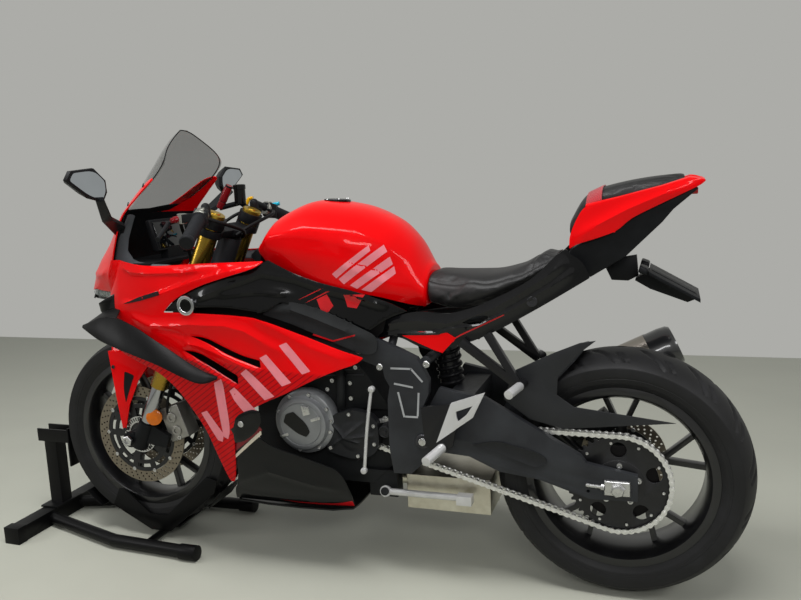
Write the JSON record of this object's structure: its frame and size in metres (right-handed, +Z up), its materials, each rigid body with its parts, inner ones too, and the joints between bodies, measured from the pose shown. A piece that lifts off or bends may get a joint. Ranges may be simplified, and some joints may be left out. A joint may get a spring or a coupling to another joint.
{
  "type": "sport bike on a front-wheel paddock stand",
  "caption": "Fully faired sport motorcycle held upright by a wheel chock under its front tyre, with turning wheels, steering and a folding side stand.",
  "frame": {"origin": "on the floor under the middle of the bounding box", "axes": "+X forward along the bike, +Y to the rider's left, +Z up"},
  "size_m": [2.1769, 0.884, 1.244],
  "materials": {
    "black_gloss": "gloss black moulded panel",
    "black_matt": "grained black plastic",
    "black_metal": "satin black powder coat",
    "chrome": "hard chrome",
    "gold": "gold anodised tube",
    "grey_metal": "matt dark grey paint on cast aluminium",
    "lamp_clear": "clear lens",
    "lamp_red": "red lens",
    "red_paint": "gloss red paint",
    "screen": "smoked clear screen",
    "seat_black": "black seat cover",
    "silver": "bare machined aluminium",
    "steel": "ground steel",
    "titanium": "heat-tinted titanium sleeve",
    "tyre": "black road tyre"
  },
  "bodies": {
    "front_end": {"fork_bottoms": "grey_metal", "fork_stanchions": "chrome", "fork_tubes": "gold", "triple_clamps": "black_metal", "handlebars": "black_metal", "hand_controls": "black_metal", "brake_hoses": "black_matt", "control_cables": "black_matt", "front_fender": "red_paint", "front_calipers": "silver", "stand_frame": "black_metal", "stand_cradle": "black_metal"},
    "front_wheel": {"front_tyre": "tyre", "front_rim": "black_metal", "front_discs": "steel"},
    "rear_wheel": {"rear_tyre": "tyre", "rear_rim": "black_metal", "rear_sprocket": "grey_metal", "rear_disc": "steel"},
    "side_stand": {"side_stand": "silver"},
    "chassis": {"belly_pan": "black_gloss", "drive_chain": "silver", "engine_block": "grey_metal", "engine_covers": "silver", "exhaust_pipes": "titanium", "footrests": "grey_metal", "fuel_tank": "red_paint", "head_cover": "black_matt", "headlamps": "lamp_clear", "inner_cowl": "black_matt", "main_frame": "grey_metal", "mirrors": "black_matt", "nose_cowl": "red_paint", "pillion_seat": "seat_black", "plate_bracket": "black_matt", "radiator": "black_metal", "rear_axle": "silver", "rear_caliper": "black_metal", "rear_hugger": "black_matt", "rear_shock": "black_metal", "rider_seat": "seat_black", "seat_panels": "black_gloss", "side_fairing_left": "red_paint", "side_fairing_right": "red_paint", "side_inserts": "black_gloss", "silencer": "titanium", "swingarm": "grey_metal", "tail_cowl": "red_paint", "tail_lamp": "lamp_red", "undertail": "black_matt", "windscreen": "screen", "winglets": "black_gloss"}
  },
  "joints": [
    {"name": "front_wheel_spin", "type": "hinge", "parent": "front_end", "child": "front_wheel", "pos_m": [0.6425, 0, 0.335], "axis": [0, 1, 0], "continuous": true},
    {"name": "steering", "type": "hinge", "parent": "front_end", "child": "chassis", "pos_m": [0.34719, 0, 0.8589], "axis": [-0.4305, 0, 0.9026], "range_deg": [-27, 27]},
    {"name": "rear_wheel_spin", "type": "hinge", "parent": "chassis", "child": "rear_wheel", "pos_m": [-0.7735, 0, 0.315], "axis": [0, 1, 0], "continuous": true},
    {"name": "side_stand_fold", "type": "hinge", "parent": "chassis", "child": "side_stand", "pos_m": [-0.1735, 0.118, 0.245], "axis": [0, -0.9613, -0.2756], "range_deg": [0, 95]}
  ]
}
